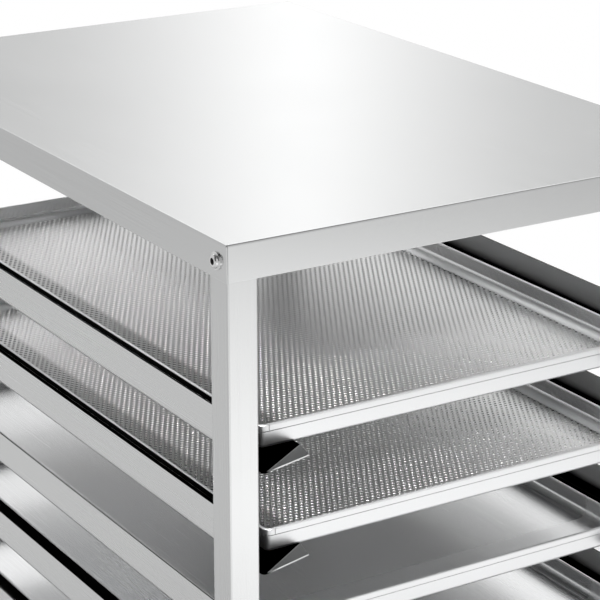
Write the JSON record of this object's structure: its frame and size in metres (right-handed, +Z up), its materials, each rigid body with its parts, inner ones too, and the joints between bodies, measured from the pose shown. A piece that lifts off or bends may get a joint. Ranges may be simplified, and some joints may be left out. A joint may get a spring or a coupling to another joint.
{
  "type": "tray rack trolley",
  "caption": "Stainless tray rack trolley with a flat worktop, tube legs, L-shaped support rails, pull-out trays and swivel castors with brakes.",
  "frame": {"origin": "on the floor under the middle of the worktop", "axes": "+Z up, +X to the right seen from the front, -Y towards the front, where the trays slide out"},
  "size_m": [0.48, 0.697, 0.85],
  "materials": {
    "worktop_steel": "fine satin stainless sheet",
    "frame_steel": "satin stainless tube",
    "rail_steel": "smooth stainless sheet",
    "tray_aluminium": "bright rolled aluminium sheet",
    "fastener_steel": "bright stainless fasteners",
    "castor_zinc": "bright zinc plate",
    "hub_plastic": "moulded grey plastic",
    "tyre_rubber": "grey non-marking rubber",
    "pedal_plastic": "moulded black plastic",
    "insert_plastic": "moulded black plastic"
  },
  "bodies": {
    "root": {"base_bar_front": "frame_steel", "base_bar_left": "frame_steel", "base_bar_rear": "frame_steel", "base_bar_right": "frame_steel", "castor_stems": "castor_zinc", "leg_bottom_inserts": "insert_plastic", "leg_front_left": "frame_steel", "leg_front_right": "frame_steel", "leg_rear_left": "frame_steel", "leg_rear_right": "frame_steel", "leg_top_plugs": "insert_plastic", "rail_left_1": "rail_steel", "rail_left_2": "rail_steel", "rail_left_3": "rail_steel", "rail_left_4": "rail_steel", "rail_left_5": "rail_steel", "rail_left_6": "rail_steel", "rail_left_7": "rail_steel", "rail_right_1": "rail_steel", "rail_right_2": "rail_steel", "rail_right_3": "rail_steel", "rail_right_4": "rail_steel", "rail_right_5": "rail_steel", "rail_right_6": "rail_steel", "rail_right_7": "rail_steel", "rail_rivets": "fastener_steel", "worktop": "worktop_steel", "worktop_screws": "fastener_steel", "worktop_stiffeners": "worktop_steel"},
    "tray_1": {"tray_1": "tray_aluminium"},
    "tray_2": {"tray_2": "tray_aluminium"},
    "tray_3": {"tray_3": "tray_aluminium"},
    "tray_4": {"tray_4": "tray_aluminium"},
    "tray_5": {"tray_5": "tray_aluminium"},
    "tray_6": {"tray_6": "tray_aluminium"},
    "tray_7": {"tray_7": "tray_aluminium"},
    "castor_front_left": {"castor_fork_front_left": "castor_zinc", "castor_axle_front_left": "fastener_steel", "brake_pin_left": "fastener_steel"},
    "wheel_front_left": {"wheel_hub_front_left": "hub_plastic", "wheel_tyre_front_left": "tyre_rubber"},
    "castor_front_right": {"castor_fork_front_right": "castor_zinc", "castor_axle_front_right": "fastener_steel", "brake_pin_right": "fastener_steel"},
    "wheel_front_right": {"wheel_hub_front_right": "hub_plastic", "wheel_tyre_front_right": "tyre_rubber"},
    "castor_rear_left": {"castor_fork_rear_left": "castor_zinc", "castor_axle_rear_left": "fastener_steel"},
    "wheel_rear_left": {"wheel_hub_rear_left": "hub_plastic", "wheel_tyre_rear_left": "tyre_rubber"},
    "castor_rear_right": {"castor_fork_rear_right": "castor_zinc", "castor_axle_rear_right": "fastener_steel"},
    "wheel_rear_right": {"wheel_hub_rear_right": "hub_plastic", "wheel_tyre_rear_right": "tyre_rubber"},
    "pedal_left": {"brake_pedal_left": "pedal_plastic"},
    "pedal_right": {"brake_pedal_right": "pedal_plastic"}
  },
  "joints": [
    {"name": "tray_1_slide", "type": "slide", "parent": "root", "child": "tray_1", "axis": [0, -1, 0], "range_m": [0, 0.66]},
    {"name": "tray_2_slide", "type": "slide", "parent": "root", "child": "tray_2", "axis": [0, -1, 0], "range_m": [-0.008, 0.66]},
    {"name": "tray_3_slide", "type": "slide", "parent": "root", "child": "tray_3", "axis": [0, -1, 0], "range_m": [0, 0.66]},
    {"name": "tray_4_slide", "type": "slide", "parent": "root", "child": "tray_4", "axis": [0, -1, 0], "range_m": [0, 0.66]},
    {"name": "tray_5_slide", "type": "slide", "parent": "root", "child": "tray_5", "axis": [0, -1, 0], "range_m": [0, 0.66]},
    {"name": "tray_6_slide", "type": "slide", "parent": "root", "child": "tray_6", "axis": [0, -1, 0], "range_m": [0, 0.66]},
    {"name": "tray_7_slide", "type": "slide", "parent": "root", "child": "tray_7", "axis": [0, -1, 0], "range_m": [0, 0.66]},
    {"name": "castor_front_left_swivel", "type": "hinge", "parent": "root", "child": "castor_front_left", "pos_m": [-0.218, -0.3265, 0.095], "axis": [0, 0, 1], "continuous": true},
    {"name": "wheel_front_left_spin", "type": "hinge", "parent": "castor_front_left", "child": "wheel_front_left", "pos_m": [-0.218, -0.2985, 0.0375], "axis": [1, 0, 0], "continuous": true},
    {"name": "castor_front_right_swivel", "type": "hinge", "parent": "root", "child": "castor_front_right", "pos_m": [0.218, -0.3265, 0.095], "axis": [0, 0, 1], "continuous": true},
    {"name": "wheel_front_right_spin", "type": "hinge", "parent": "castor_front_right", "child": "wheel_front_right", "pos_m": [0.218, -0.2985, 0.0375], "axis": [1, 0, 0], "continuous": true},
    {"name": "castor_rear_left_swivel", "type": "hinge", "parent": "root", "child": "castor_rear_left", "pos_m": [-0.218, 0.3265, 0.095], "axis": [0, 0, 1], "continuous": true},
    {"name": "wheel_rear_left_spin", "type": "hinge", "parent": "castor_rear_left", "child": "wheel_rear_left", "pos_m": [-0.218, 0.2985, 0.0375], "axis": [1, 0, 0], "continuous": true},
    {"name": "castor_rear_right_swivel", "type": "hinge", "parent": "root", "child": "castor_rear_right", "pos_m": [0.218, 0.3265, 0.095], "axis": [0, 0, 1], "continuous": true},
    {"name": "wheel_rear_right_spin", "type": "hinge", "parent": "castor_rear_right", "child": "wheel_rear_right", "pos_m": [0.218, 0.2985, 0.0375], "axis": [1, 0, 0], "continuous": true},
    {"name": "brake_pedal_left_tilt", "type": "hinge", "parent": "castor_front_left", "child": "pedal_left", "pos_m": [-0.218, -0.2765, 0.08], "axis": [1, 0, 0], "range_deg": [0, 25]},
    {"name": "brake_pedal_right_tilt", "type": "hinge", "parent": "castor_front_right", "child": "pedal_right", "pos_m": [0.218, -0.2765, 0.08], "axis": [1, 0, 0], "range_deg": [0, 25]}
  ]
}
